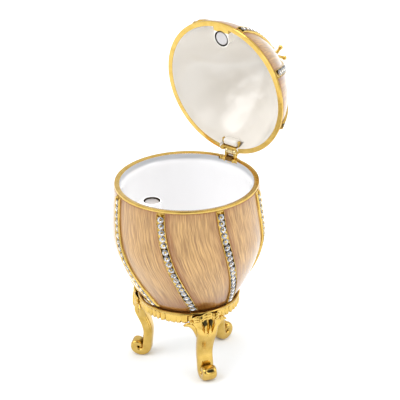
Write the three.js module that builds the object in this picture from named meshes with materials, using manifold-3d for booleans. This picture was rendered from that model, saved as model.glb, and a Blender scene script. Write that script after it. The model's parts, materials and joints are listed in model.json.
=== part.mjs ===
// A jewelled egg trinket box: a hollow cast egg in enamel and gold that opens on a hinge above its
// middle, with spiral bands of set crystals, held by a gold stand with three cabriole legs.
// Millimetres, +Z up, hinge towards +Y, front towards -Y. The lid stands open against its stop.

import * as THREE from 'three';
import { mergeVertices } from 'three/addons/utils/BufferGeometryUtils.js';
import Module from 'manifold-3d';

const wasm = await Module();
wasm.setup();
const { degToRad } = THREE.MathUtils;

// ---- Driving dimensions ----

const GAP = 0.35; // between neighbouring pieces

// The egg. Heights are above the floor.
const RIM_HEIGHT = 57.9; // top face of the bowl's gold rim
const RIM_RADIUS = 21; // outside of both gold rims
const WALL = 1.5; // thickness of the cast shell
const BELLY_RADIUS = 22.2; // widest part of the egg
const BELLY_HEIGHT = 43.1;
const TAPER_DEPTH = 38.1; // below the belly, where the egg's point would be
const TAPER_POWER = 1.66;
const BOWL_FOOT_HEIGHT = 17.5; // flat underside of the bowl
const BOWL_FLOOR = 1.8; // thickness of the bowl at its floor
const LID_HEIGHT = 22.4; // from the lid's rim to its top
const LID_POWER = 1.5;
const LID_ROUNDNESS = 0.85;

// The crystal bands: a row of stones between two gold ridges.
const BAND_COUNT = 8;
const FIRST_BAND = -28; // degrees from the front
const FRONT_PITCH = 46.5; // degrees between the four front bands; the others share the rest
const FRONT_GAPS = 3;
const BOWL_SWIRL = 25.5; // degrees that a band turns on its way down the bowl
const BOWL_SWIRL_POWER = 1.8;
const LID_SWIRL = 16; // degrees that a band turns on its way up the lid
const LID_SWIRL_POWER = 1.8;
const BAND_DEPTH = 34.4; // where the bands end, below the bowl's rim
const LID_BAND_RISE = 18.5; // where they end on the lid, above its rim
const BAND_START = 1.3; // clear of both rims
const RIDGE_OUTSIDE = 1.15; // from the band's middle
const RIDGE_CREST = 0.95;
const RIDGE_INSIDE = 0.75;
const RIDGE_RISE = 0.6;
const RIDGE_FADE = 0.9; // length over which a ridge runs out
const STONE_PITCH = 1.95;
const STONE_HALF_WIDTH = 0.58;
const STONE_SEAT = 0.22; // stone levels above the enamel
const STONE_GIRDLE = 0.5;
const STONE_TOP = 0.95;

// The hinge, its axis outside and above the bowl's rim.
const LID_OPEN = 84.7; // degrees, lid against its stop
const LID_SEAT_GAP = 0.3; // between the two rims when the lid is down
const HINGE_RADIUS = 21.4;
const HINGE_RISE = 1.6;
const KNUCKLE_RADIUS = 1.15;
const PIN_RADIUS = 0.45;
const PIN_BORE = 0.75;
const PIN_LENGTH = 4.3;
const CENTRE_KNUCKLE = 1.7; // length of the lid's knuckle
const ARM_WIDTH = 0.75; // of the two arms on the bowl's leaf
const LEAF_WIDTH = 5.2;
const RAIL_WIDTH = 0.5;
const RAIL_START = 17.5; // from the egg's axis
const WEB_START = 19.15;
const WEB_END = 19.95;
const PAD_WIDTH = 4.7;
const PAD_HEIGHT = 4.4;
const RAIL_HEIGHT = 0.9;
const NOTCH_WIDTH = 6.8;
const NOTCH_DEPTH = 2.9;
const LEAF_PROUD = 0.5; // the bowl's leaf, outside the rim
const RECESS_DEPTH = 1.3; // for the middle knuckle, in the bowl's leaf

// The magnetic catch at the front of both rims.
const MAGNET_RADIUS = 2;
const MAGNET_THICKNESS = 1;
const SOCKET_RADIUS = 2.3;
const SOCKET_DEPTH = 1.3;
const CATCH_RADIUS = 15.8; // of the magnets' middle, from the egg's axis
const TONGUE_RADIUS = 2.9;
const TONGUE_REACH = 19.95;
const TONGUE_THICKNESS = 2.4;
const TONGUE_SINK = 0.4; // below the face of the rim

// The stand.
const COLLAR_TOP = 22.3;
const COLLAR_BOTTOM = 18.6;
const COLLAR_RADIUS = 14.9;
const FLUTE_COUNT = 36;
const FLUTE_DEPTH = 0.3;
const SCALLOP = 0.2;
const LEG_COUNT = 3;
const FIRST_LEG = 58.5; // degrees from the front
const LEG_SIDES = 8;
const LEG_TOP = [14.2, 19.8]; // distance from the axis and height, as for the next four
const KNEE_PULL = [17.5, 15.8];
const SHIN_PULL = [11.7, 12];
const ANKLE = [12.6, 6.2];
const SCROLL_CENTRE = [15.35, 2.65];
const KNEE_HALF_WIDTH = 3.6;
const ANKLE_HALF_WIDTH = 2.4;
const SCROLL_HALF_WIDTH = 2.15;
const KNEE_HALF_DEPTH = 1.55;
const ANKLE_HALF_DEPTH = 1.5;
const STRAP_HALF_DEPTH = 0.95; // of the metal that rolls up into the scroll
const SCROLL_OUTER = 1.7; // from the scroll's middle to the middle of the metal
const SCROLL_INNER = 0.7;
const LOBE_TOP = 22.9; // of the middle lobe on the knee
const LOBE_FOOT = 15.2; // where the lobes meet
const LOBE_DROP = 1.6; // of the side lobes' tops below the middle one
const LOBE_SPREAD = 3.7; // between the lobes' middles, at their tops
const LOBE_RADIUS = 15; // from the stand's axis, at a lobe's top
const LOBE_ARCH = 1.7;
const EAR_START = [2.2, 12.8]; // distance aside and height, as for the next three
const EAR_RISE = [2.9, 17.8];
const EAR_BEND = [4.2, 19.4];
const EAR_TIP = [6.6, 18.1];
const EAR_RADIUS = 15;

// The finial.
const PRONG_COUNT = 4;
const PRONG_TURN = -14; // degrees from the front to the first prong
const FINIAL_BASE = 1.9;
const FINIAL_BOSS = 1.7; // height of its boss, below the prongs
const PRONG_RADIUS = 0.42;
const TIP_RADIUS = 2.4;
const TIP_HEIGHT = 4;
const BALL_RADIUS = 0.62;

// ---- Materials ----

function material(color, roughness, metalness) {
  return new THREE.MeshStandardMaterial({ color, roughness, metalness });
}

const peachEnamel = material(0xdcb48a, 0.25, 0.1);
const gold = material(0xf0c060, 0.15, 1);
const crystal = material(0xf2f4f6, 0.05, 0);
const magnetSteel = material(0xcfc9d6, 0.4, 0.6);

// ---- Solids ----

function toManifold(geometry) {
  const bare = geometry.clone();
  bare.deleteAttribute('normal');
  bare.deleteAttribute('uv');
  const welded = mergeVertices(bare, 1e-4);
  return new wasm.Manifold(new wasm.Mesh({
    numProp: 3,
    vertProperties: new Float32Array(welded.attributes.position.array),
    triVerts: new Uint32Array(welded.index.array),
  }));
}

function toGeometry(solid) {
  const mesh = solid.getMesh();
  const geometry = new THREE.BufferGeometry();
  geometry.setAttribute('position', new THREE.BufferAttribute(mesh.vertProperties, 3));
  geometry.setIndex(new THREE.BufferAttribute(mesh.triVerts, 1));
  geometry.computeVertexNormals();
  return geometry;
}

function indexed(points, faces) {
  const geometry = new THREE.BufferGeometry().setFromPoints(points);
  geometry.setIndex(faces);
  return geometry;
}

// A closed skin over rings of points, anticlockwise seen from above. A ring of one point is a pole;
// a looped skin joins its last ring to its first.
function skin(rings, looped = false) {
  const points = rings.flat();
  const starts = [];
  rings.reduce((start, ring) => {
    starts.push(start);
    return start + ring.length;
  }, 0);
  const faces = [];
  const spans = looped ? rings.length : rings.length - 1;
  for (let i = 0; i < spans; i += 1) {
    const next = (i + 1) % rings.length;
    const count = Math.max(rings[i].length, rings[next].length);
    const low = (j) => starts[i] + (j % rings[i].length);
    const high = (j) => starts[next] + (j % rings[next].length);
    for (let j = 0; j < count; j += 1) {
      if (rings[i].length > 1) {
        faces.push(low(j), low(j + 1), high(j + 1));
      }
      if (rings[next].length > 1) {
        faces.push(low(j), high(j + 1), high(j));
      }
    }
  }
  return indexed(points, faces);
}

function box(x0, x1, y0, y1, z0, z1) {
  const geometry = new THREE.BoxGeometry(x1 - x0, y1 - y0, z1 - z0);
  geometry.translate((x0 + x1) / 2, (y0 + y1) / 2, (z0 + z1) / 2);
  return toManifold(geometry);
}

// A round bar along X.
function bar(radius, length, x, y, z, sides = 10) {
  const geometry = new THREE.CylinderGeometry(radius, radius, length, sides);
  geometry.rotateZ(Math.PI / 2);
  geometry.translate(x, y, z);
  return toManifold(geometry);
}

function union(...solids) {
  return solids.reduce((sum, solid) => sum.add(solid));
}

// ---- The egg's surface ----

// A point at an azimuth from the front, turning towards +X.
function polar(radius, azimuth, z) {
  return new THREE.Vector3(radius * Math.sin(azimuth), -radius * Math.cos(azimuth), z);
}

function bandAzimuth(k) {
  const backPitch = (360 - FRONT_GAPS * FRONT_PITCH) / (BAND_COUNT - FRONT_GAPS);
  const front = Math.min(k, FRONT_GAPS);
  return degToRad(FIRST_BAND + front * FRONT_PITCH + (k - front) * backPitch);
}

// Both halves are described by the distance t from their own rim, along the axis.
const bowlHalf = {
  radius(t) {
    const z = RIM_HEIGHT - t;
    if (z < BELLY_HEIGHT) {
      return BELLY_RADIUS * (1 - ((BELLY_HEIGHT - z) / TAPER_DEPTH) ** TAPER_POWER);
    }
    const up = (z - BELLY_HEIGHT) / (RIM_HEIGHT - BELLY_HEIGHT);
    return BELLY_RADIUS - (BELLY_RADIUS - RIM_RADIUS) * up * up;
  },
  swirl: (t) => degToRad(BOWL_SWIRL) * (t / BAND_DEPTH) ** BOWL_SWIRL_POWER,
  height: (t) => RIM_HEIGHT - t,
  direction: -1,
  bandEnd: BAND_DEPTH,
};

const lidHalf = {
  radius: (t) => RIM_RADIUS * Math.max(1 - (t / LID_HEIGHT) ** LID_POWER, 0) ** LID_ROUNDNESS,
  swirl: (t) => degToRad(LID_SWIRL) * (t / LID_HEIGHT) ** LID_SWIRL_POWER,
  height: (t) => t,
  direction: 1,
  bandEnd: LID_BAND_RISE,
};

// A point on a half's outside, at a distance from a band's middle and a lift along the normal.
function surfacePoint(half, t, azimuth, offset, lift) {
  const step = 0.05;
  const slope = (half.radius(t + step) - half.radius(Math.max(t - step, 0)))
    / (t > step ? 2 * step : step + t);
  const scale = 1 / Math.hypot(1, slope);
  const radius = half.radius(t);
  const out = radius + lift * scale;
  const z = half.height(t) - half.direction * lift * slope * scale;
  return polar(out, azimuth + offset / radius, z);
}

function ridgeLift(half, t) {
  if (t < BAND_START || t > half.bandEnd + RIDGE_FADE / 2) {
    return 0;
  }
  return RIDGE_RISE;
}

// One ring of the shell: each band's six edges, then the panel up to the next band.
const PANEL_STEPS = 3;
function shellRing(half, t, radius = null) {
  const ring = [];
  const base = radius ?? half.radius(t);
  const lift = radius === null ? ridgeLift(half, t) : 0;
  const edges = [
    [-RIDGE_OUTSIDE, 0],
    [-RIDGE_CREST, lift],
    [-RIDGE_INSIDE, 0],
    [RIDGE_INSIDE, 0],
    [RIDGE_CREST, lift],
    [RIDGE_OUTSIDE, 0],
  ];
  for (let k = 0; k < BAND_COUNT; k += 1) {
    const middle = bandAzimuth(k) + half.swirl(t);
    const following = (k + 1 < BAND_COUNT ? bandAzimuth(k + 1) : bandAzimuth(0) + 2 * Math.PI)
      + half.swirl(t);
    for (const [offset, rise] of edges) {
      ring.push(radius === null
        ? surfacePoint(half, t, middle, offset, rise)
        : polar(base, middle + offset / base, half.height(t)));
    }
    const from = middle + RIDGE_OUTSIDE / base;
    const to = following - RIDGE_OUTSIDE / base;
    for (let j = 1; j < PANEL_STEPS; j += 1) {
      ring.push(polar(base, from + (to - from) * j / PANEL_STEPS, half.height(t)));
    }
  }
  return ring;
}

function spread(from, to, count) {
  return Array.from({ length: count }, (_, i) => from + (to - from) * i / (count - 1));
}

function outerRings(half, last, rows) {
  return [
    ...[0, 0.85],
    ...spread(BAND_START, half.bandEnd, rows),
    half.bandEnd + RIDGE_FADE,
    last,
  ].map((t) => shellRing(half, t));
}

function innerRings(half, last, rows) {
  return spread(0, last, rows).map((t) => shellRing(half, t, half.radius(t) - WALL));
}

// A row of stones that touch, each a square block under a pointed crown.
function stoneRow(half, azimuth) {
  const along = (t) => surfacePoint(half, t, azimuth + half.swirl(t), 0, STONE_SEAT);
  const first = BAND_START + 0.3;
  const last = half.bandEnd;
  const samples = spread(first, last, 200).map(along);
  const reach = [0];
  for (let i = 1; i < samples.length; i += 1) {
    reach.push(reach[i - 1] + samples[i].distanceTo(samples[i - 1]));
  }
  const length = reach[reach.length - 1];
  const count = Math.round(length / STONE_PITCH);
  const tAt = (share) => {
    const i = reach.findIndex((d) => d >= share * length - 1e-9);
    return first + (last - first) * i / (samples.length - 1);
  };
  const points = [];
  const faces = [];
  for (let i = 0; i <= count; i += 1) {
    const t = tAt(i / count);
    const middle = azimuth + half.swirl(t);
    for (const [side, lift] of [[-1, STONE_SEAT], [1, STONE_SEAT], [1, STONE_GIRDLE], [-1, STONE_GIRDLE]]) {
      points.push(surfacePoint(half, t, middle, side * STONE_HALF_WIDTH, lift));
    }
  }
  for (let i = 0; i < count; i += 1) {
    const a = 4 * i;
    const b = a + 4;
    const t = tAt((i + 0.5) / count);
    const apex = points.push(surfacePoint(half, t, azimuth + half.swirl(t), 0, STONE_TOP)) - 1;
    for (const [p, q] of [[0, 1], [1, 2], [3, 0]]) {
      faces.push(a + p, a + q, b + q, a + p, b + q, b + p);
    }
    faces.push(a + 2, a + 3, apex, b + 3, b + 2, apex, a + 3, b + 3, apex, b + 2, a + 2, apex);
  }
  const end = 4 * count;
  faces.push(0, 2, 1, 0, 3, 2, end, end + 1, end + 2, end, end + 2, end + 3);
  if (half.direction > 0) {
    for (let i = 0; i < faces.length; i += 3) {
      [faces[i + 1], faces[i + 2]] = [faces[i + 2], faces[i + 1]];
    }
  }
  return indexed(points, faces);
}

// ---- The catch ----

// A round-nosed tongue that reaches in from the wall, its face at z.
function tongue(z, thickness) {
  const spreadAngle = Math.asin(TONGUE_RADIUS / TONGUE_REACH);
  const outline = new THREE.Shape();
  outline.absarc(0, 0, TONGUE_REACH, -Math.PI / 2 - spreadAngle, -Math.PI / 2 + spreadAngle, false);
  outline.absarc(0, -CATCH_RADIUS, TONGUE_RADIUS, 0, Math.PI, false);
  const geometry = new THREE.ExtrudeGeometry(outline, {
    depth: thickness,
    bevelEnabled: false,
    curveSegments: 6,
  });
  geometry.translate(0, 0, z);
  return toManifold(geometry);
}

function disc(radius, thickness, y, z, sides = 16) {
  const geometry = new THREE.CylinderGeometry(radius, radius, thickness, sides);
  geometry.rotateX(Math.PI / 2);
  geometry.translate(0, y, z);
  return toManifold(geometry);
}

// ---- The two halves of the egg ----

function makeBowl() {
  const floorT = RIM_HEIGHT - BOWL_FOOT_HEIGHT - BOWL_FLOOR;
  const outside = outerRings(bowlHalf, RIM_HEIGHT - BOWL_FOOT_HEIGHT, 7).reverse();
  const inside = innerRings(bowlHalf, floorT, 4);
  const shell = toManifold(skin([
    [new THREE.Vector3(0, 0, BOWL_FOOT_HEIGHT)],
    ...outside,
    ...inside,
    [new THREE.Vector3(0, 0, BOWL_FOOT_HEIGHT + BOWL_FLOOR)],
  ]));
  const face = RIM_HEIGHT - TONGUE_SINK;
  const socket = disc(SOCKET_RADIUS, 2 * SOCKET_DEPTH, -CATCH_RADIUS, face);
  const notch = box(
    -NOTCH_WIDTH / 2, NOTCH_WIDTH / 2,
    RIM_RADIUS - 2 * WALL, RIM_RADIUS + WALL,
    RIM_HEIGHT - NOTCH_DEPTH, RIM_HEIGHT + 1,
  );
  return shell.add(tongue(face - TONGUE_THICKNESS, TONGUE_THICKNESS)).subtract(socket).subtract(notch);
}

function makeLid() {
  const crown = LID_HEIGHT - 1.1;
  const outside = outerRings(lidHalf, crown, 5);
  const inside = innerRings(lidHalf, crown - WALL, 4).reverse();
  const shell = toManifold(skin([
    [new THREE.Vector3(0, 0, LID_HEIGHT - WALL)],
    ...inside,
    ...outside,
    [new THREE.Vector3(0, 0, LID_HEIGHT)],
  ]));
  const socket = disc(SOCKET_RADIUS, 2 * SOCKET_DEPTH, -CATCH_RADIUS, TONGUE_SINK);
  const notch = box(
    -NOTCH_WIDTH / 2, NOTCH_WIDTH / 2,
    RIM_RADIUS - 3 * WALL, RIM_RADIUS + WALL,
    -1, NOTCH_DEPTH,
  );
  // A pad behind the hinge closes the notch inside the wall.
  const pad = box(
    -PAD_WIDTH / 2, PAD_WIDTH / 2,
    RAIL_START + GAP / 2, WEB_START - GAP,
    GAP / 2, PAD_HEIGHT,
  );
  return shell.add(tongue(TONGUE_SINK, TONGUE_THICKNESS)).subtract(socket).subtract(notch).add(pad);
}

function makeMagnet(z) {
  return disc(MAGNET_RADIUS, MAGNET_THICKNESS, -CATCH_RADIUS, z);
}

// ---- The hinge ----

const AXIS_Z = RIM_HEIGHT + HINGE_RISE;
const ARM_X = CENTRE_KNUCKLE / 2 + GAP + ARM_WIDTH / 2;

// The bowl's leaf: a block let into the rim, with two round-headed arms that hold the pin.
function makeBowlLeaf() {
  const block = box(
    -LEAF_WIDTH / 2, LEAF_WIDTH / 2,
    RIM_RADIUS - WALL, RIM_RADIUS + LEAF_PROUD,
    RIM_HEIGHT - NOTCH_DEPTH + GAP, RIM_HEIGHT - GAP / 2,
  );
  const recess = box(
    -CENTRE_KNUCKLE / 2 - GAP, CENTRE_KNUCKLE / 2 + GAP,
    RIM_RADIUS - 2 * WALL, RIM_RADIUS,
    RIM_HEIGHT - RECESS_DEPTH, RIM_HEIGHT,
  );
  const arms = [-ARM_X, ARM_X].map((x) => union(
    bar(KNUCKLE_RADIUS, ARM_WIDTH, x, HINGE_RADIUS, AXIS_Z),
    box(
      x - ARM_WIDTH / 2, x + ARM_WIDTH / 2,
      HINGE_RADIUS - KNUCKLE_RADIUS, RIM_RADIUS + LEAF_PROUD,
      RIM_HEIGHT - RECESS_DEPTH, AXIS_Z,
    ),
  ));
  const bore = bar(PIN_BORE, 2 * LEAF_WIDTH, 0, HINGE_RADIUS, AXIS_Z);
  return union(block.subtract(recess), ...arms).subtract(bore);
}

// The lid's leaf, drawn with the lid down: a web inside the wall, two rails along the rim's face and
// the middle knuckle.
function makeLidLeaf() {
  const halfWidth = LEAF_WIDTH / 2 + RAIL_WIDTH;
  const web = box(-halfWidth, halfWidth, WEB_START, WEB_END, 0, NOTCH_DEPTH - GAP);
  const rails = [-1, 1].map((side) => {
    const x = side * (LEAF_WIDTH / 2 + RAIL_WIDTH / 2);
    return box(x - RAIL_WIDTH / 2, x + RAIL_WIDTH / 2, RAIL_START, WEB_END, 0, RAIL_HEIGHT);
  });
  const knuckle = union(
    bar(KNUCKLE_RADIUS, CENTRE_KNUCKLE, 0, HINGE_RADIUS, HINGE_RISE - LID_SEAT_GAP),
    box(-CENTRE_KNUCKLE / 2, CENTRE_KNUCKLE / 2, WEB_START, HINGE_RADIUS, GAP, HINGE_RISE),
  );
  const bore = bar(PIN_BORE, 2 * LEAF_WIDTH, 0, HINGE_RADIUS, HINGE_RISE - LID_SEAT_GAP);
  return union(web, ...rails, knuckle).subtract(bore);
}

// ---- The stand ----

// A closed tube whose stations give a middle point, a half depth across the curve in its own
// upright plane, and a half width along that plane's normal.
function sweep(stations, side, sides = LEG_SIDES) {
  const rings = stations.map((station, i) => {
    const before = stations[Math.max(i - 1, 0)].point;
    const after = stations[Math.min(i + 1, stations.length - 1)].point;
    const along = after.clone().sub(before).normalize();
    const across = new THREE.Vector3().crossVectors(side, along).normalize();
    return Array.from({ length: sides }, (_, j) => {
      const turn = (j + 0.5) / sides * 2 * Math.PI;
      return station.point.clone()
        .addScaledVector(across, -station.depth * Math.cos(turn))
        .addScaledVector(side, -station.width * Math.sin(turn));
    });
  });
  return toManifold(skin([
    [stations[0].point.clone()],
    ...rings,
    [stations[stations.length - 1].point.clone()],
  ]));
}

function ease(from, to, share) {
  return from + (to - from) * THREE.MathUtils.smoothstep(share, 0, 1);
}

// A leg stands in the plane of the azimuth 0; the stand turns it into place.
const LEG_SIDE = new THREE.Vector3(1, 0, 0);

function legPoint(radius, z, aside = 0) {
  return new THREE.Vector3(aside, -radius, z);
}

function scrollPoint(angle, reach) {
  return legPoint(
    SCROLL_CENTRE[0] + reach * Math.cos(angle),
    SCROLL_CENTRE[1] + reach * Math.sin(angle),
  );
}

function makeLeg() {
  const line = new THREE.CubicBezierCurve3(
    legPoint(...LEG_TOP),
    legPoint(...KNEE_PULL),
    legPoint(...SHIN_PULL),
    legPoint(...ANKLE),
  );
  const shin = spread(0, 1, 7).map((share) => ({
    point: line.getPoint(share),
    depth: ease(KNEE_HALF_DEPTH, ANKLE_HALF_DEPTH, share),
    width: ANKLE_HALF_WIDTH + (KNEE_HALF_WIDTH - ANKLE_HALF_WIDTH) * (1 - share) ** 1.5,
  }));
  // The scroll turns outwards from the ankle, under its own middle and back up over it.
  const underside = spread(degToRad(172), degToRad(300), 5).map((angle, i, all) => {
    const share = (i + 1) / all.length;
    return {
      point: scrollPoint(angle, ease(SCROLL_OUTER + 0.6, SCROLL_OUTER, share)),
      depth: ease(ANKLE_HALF_DEPTH, STRAP_HALF_DEPTH, share),
      width: ease(ANKLE_HALF_WIDTH, SCROLL_HALF_WIDTH, share),
    };
  });
  const curl = spread(degToRad(275), degToRad(520), 8).map((angle, i, all) => {
    const share = i / (all.length - 1);
    return {
      point: scrollPoint(angle, SCROLL_OUTER + (SCROLL_INNER - SCROLL_OUTER) * share ** 2),
      depth: STRAP_HALF_DEPTH * (1 - share / 2),
      width: SCROLL_HALF_WIDTH,
    };
  });
  // Three lobes of a leaf lie over the knee, and an ear runs out under the collar on each side.
  const lobes = [-1, 0, 1].map((aside) => {
    const top = LOBE_TOP - LOBE_DROP * Math.abs(aside);
    const stations = spread(0, 1, 4).map((share) => ({
      point: legPoint(
        LOBE_RADIUS + LOBE_ARCH * Math.sin(Math.PI * share * 0.8) - 0.4 * Math.abs(aside),
        top + (LOBE_FOOT - top) * share,
        aside * ease(LOBE_SPREAD, 0.9, share),
      ),
      depth: ease(0.85, 0.4, share),
      width: ease(1.5 - 0.4 * Math.abs(aside), 0.5, share),
    }));
    return sweep(stations, LEG_SIDE, 4);
  });
  const ears = [-1, 1].map((side) => {
    const flat = ([aside, z]) => new THREE.Vector3(aside, z, 0);
    const ear = new THREE.CubicBezierCurve3(...[EAR_START, EAR_RISE, EAR_BEND, EAR_TIP].map(flat));
    const stations = spread(0, 1, 4).map((share) => {
      const { x, y } = ear.getPoint(share);
      return {
        point: legPoint(Math.sqrt(EAR_RADIUS ** 2 - x * x), y, side * x),
        depth: 0.95 * Math.sin(Math.PI * (0.3 + 0.6 * share)),
        width: ease(1.1, 0.5, share),
      };
    });
    return sweep(stations, new THREE.Vector3(0, 1, 0), 4);
  });
  return union(sweep([...shin, ...underside], LEG_SIDE), sweep(curl, LEG_SIDE), ...lobes, ...ears);
}

function makeCollar() {
  const inside = (z) => bowlHalf.radius(RIM_HEIGHT - z) + GAP;
  const columns = 2 * FLUTE_COUNT;
  const ring = (radius, z, fluted = 0, scalloped = 0) => Array.from({ length: columns }, (_, i) => {
    const azimuth = 2 * Math.PI * i / columns;
    const inner = i % 2;
    return polar(radius - inner * fluted, azimuth, z + inner * scalloped);
  });
  return toManifold(skin([
    ring(inside(COLLAR_BOTTOM + 0.5), COLLAR_BOTTOM + 0.5),
    ring(COLLAR_RADIUS - 0.35, COLLAR_BOTTOM, FLUTE_DEPTH, SCALLOP),
    ring(COLLAR_RADIUS - 0.1, COLLAR_TOP - 0.9, FLUTE_DEPTH),
    ring(COLLAR_RADIUS, COLLAR_TOP),
    ring(inside(COLLAR_TOP), COLLAR_TOP),
  ], true));
}

function makeStand() {
  const leg = makeLeg();
  const legs = Array.from({ length: LEG_COUNT }, (_, k) => (
    leg.rotate([0, 0, FIRST_LEG + k * 360 / LEG_COUNT])
  ));
  const floor = box(-30, 30, -30, 30, -5, 0);
  return union(makeCollar(), ...legs).subtract(floor);
}

// ---- The finial ----

function makeFinial() {
  const seat = LID_HEIGHT + GAP;
  const profile = [
    [0, 0],
    [FINIAL_BASE, 0],
    [FINIAL_BASE, FINIAL_BOSS / 4],
    [2 * PRONG_RADIUS, FINIAL_BOSS / 2],
    [1.5 * PRONG_RADIUS, 0.9 * FINIAL_BOSS],
    [0, FINIAL_BOSS],
  ];
  const foot = new THREE.LatheGeometry(profile.map(([r, z]) => new THREE.Vector2(r, z)), 8);
  foot.rotateX(Math.PI / 2);
  foot.translate(0, 0, seat);
  const prongs = Array.from({ length: PRONG_COUNT }, (_, k) => {
    const azimuth = degToRad(PRONG_TURN) + 2 * Math.PI * k / PRONG_COUNT;
    const outward = polar(1, azimuth, 0);
    const line = new THREE.QuadraticBezierCurve3(
      new THREE.Vector3(0, 0, seat + FINIAL_BOSS / 2),
      outward.clone().multiplyScalar(TIP_RADIUS / 4).setZ(seat + 0.6 * TIP_HEIGHT),
      outward.clone().multiplyScalar(TIP_RADIUS).setZ(seat + TIP_HEIGHT),
    );
    const side = new THREE.Vector3().crossVectors(outward, new THREE.Vector3(0, 0, 1));
    const stations = spread(0, 1, 3).map((share) => ({
      point: line.getPoint(share),
      depth: PRONG_RADIUS,
      width: PRONG_RADIUS,
    }));
    const ball = new THREE.SphereGeometry(BALL_RADIUS, 6, 4);
    ball.translate(...line.getPoint(1).toArray());
    return sweep(stations, side, 4).add(toManifold(ball));
  });
  return union(toManifold(foot), ...prongs);
}

// ---- Assembly ----

const egg = new THREE.Group();
const lidSwing = new THREE.Group();
lidSwing.position.set(0, HINGE_RADIUS, AXIS_Z);
lidSwing.rotation.x = -degToRad(LID_OPEN);
const lidParts = new THREE.Group();
lidParts.position.set(0, -HINGE_RADIUS, LID_SEAT_GAP - HINGE_RISE);
lidSwing.add(lidParts);
egg.add(lidSwing);

function place(parent, name, geometry, finish) {
  const mesh = new THREE.Mesh(geometry, finish);
  mesh.name = name;
  parent.add(mesh);
}

place(egg, 'stand', toGeometry(makeStand()), gold);
place(egg, 'bowl', toGeometry(makeBowl()), peachEnamel);
place(lidParts, 'lid', toGeometry(makeLid()), peachEnamel);
place(egg, 'bowl_hinge_leaf', toGeometry(makeBowlLeaf()), gold);
place(lidParts, 'lid_hinge_leaf', toGeometry(makeLidLeaf()), gold);
place(egg, 'hinge_pin', toGeometry(bar(PIN_RADIUS, PIN_LENGTH, 0, HINGE_RADIUS, AXIS_Z)), gold);
place(lidParts, 'finial', toGeometry(makeFinial()), gold);

const bowlMagnetZ = RIM_HEIGHT - TONGUE_SINK - MAGNET_THICKNESS / 2;
place(egg, 'bowl_magnet', toGeometry(makeMagnet(bowlMagnetZ)), magnetSteel);
place(lidParts, 'lid_magnet', toGeometry(makeMagnet(TONGUE_SINK + MAGNET_THICKNESS / 2)), magnetSteel);

for (let k = 0; k < BAND_COUNT; k += 1) {
  place(egg, `bowl_crystals_${k + 1}`, stoneRow(bowlHalf, bandAzimuth(k)), crystal);
  place(lidParts, `lid_crystals_${k + 1}`, stoneRow(lidHalf, bandAzimuth(k)), crystal);
}

// The origin is the middle of the whole box's footprint, on the floor.
const bounds = new THREE.Box3().setFromObject(egg, true);
const centre = bounds.getCenter(new THREE.Vector3());
egg.position.set(-centre.x, -centre.y, -bounds.min.z);

const part = new THREE.Group();
part.add(egg);

export default part;
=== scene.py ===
"""A jewelled egg trinket box, standing open: a cast egg in peach enamel and gold on a gold stand.

Each piece is drawn in millimetres with the egg's axis upright, then put in its place in metres.
"""

import json
from itertools import pairwise
from math import atan2, cos, hypot, pi, radians, sin

import bmesh
import bpy
from mathutils import Matrix, Vector
from mathutils.geometry import interpolate_bezier


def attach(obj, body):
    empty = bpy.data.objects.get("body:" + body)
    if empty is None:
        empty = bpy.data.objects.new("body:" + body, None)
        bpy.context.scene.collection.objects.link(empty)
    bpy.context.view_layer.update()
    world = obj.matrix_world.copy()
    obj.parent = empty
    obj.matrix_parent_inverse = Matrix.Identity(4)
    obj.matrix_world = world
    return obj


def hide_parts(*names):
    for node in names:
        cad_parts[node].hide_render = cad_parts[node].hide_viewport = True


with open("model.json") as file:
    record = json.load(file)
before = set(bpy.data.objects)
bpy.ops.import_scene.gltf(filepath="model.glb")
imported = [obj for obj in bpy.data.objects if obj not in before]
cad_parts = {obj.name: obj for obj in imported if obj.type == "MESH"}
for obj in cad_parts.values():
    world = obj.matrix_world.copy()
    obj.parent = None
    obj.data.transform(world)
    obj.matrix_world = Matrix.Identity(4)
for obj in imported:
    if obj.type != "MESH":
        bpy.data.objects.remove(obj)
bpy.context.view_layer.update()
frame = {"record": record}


# ---- Stand ----
# The stand is one gold-plated casting: a fluted collar that the egg sits in, on three cabriole
# legs with a leaf over each knee and a scroll for a foot. The hinge's place fixes the egg's axis.

MM = 0.001
HINGE_RADIUS = 21.4  # from the egg's axis
HINGE_RISE = 1.6  # above the bowl's rim
hinge_joint = frame["record"]["behaviour"]["joints"][0]
hinge_place = Vector(hinge_joint["pos_m"])
egg_place = (
    Matrix.Translation((hinge_place.x, hinge_place.y - HINGE_RADIUS * MM, 0)) @ Matrix.Scale(MM, 4)
)
RIM_HEIGHT = hinge_place.z / MM - HINGE_RISE


class Wire:
    """A socket of a finish; sums on it add Math nodes."""

    def __init__(self, finish, socket):
        self.finish, self.socket = finish, socket

    def _sum(self, operation, *terms):
        return self.finish.node("ShaderNodeMath", {"operation": operation}, dict(enumerate(terms)))

    def __add__(self, other):
        return self._sum("ADD", self, other)

    def __sub__(self, other):
        return self._sum("SUBTRACT", self, other)

    def __rsub__(self, other):
        return self._sum("SUBTRACT", other, self)

    def __mul__(self, other):
        return self._sum("MULTIPLY", self, other)

    def clamp(self):
        return self._sum("MINIMUM", self._sum("MAXIMUM", self, 0.0), 1.0)

    __radd__, __rmul__ = __add__, __mul__


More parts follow.
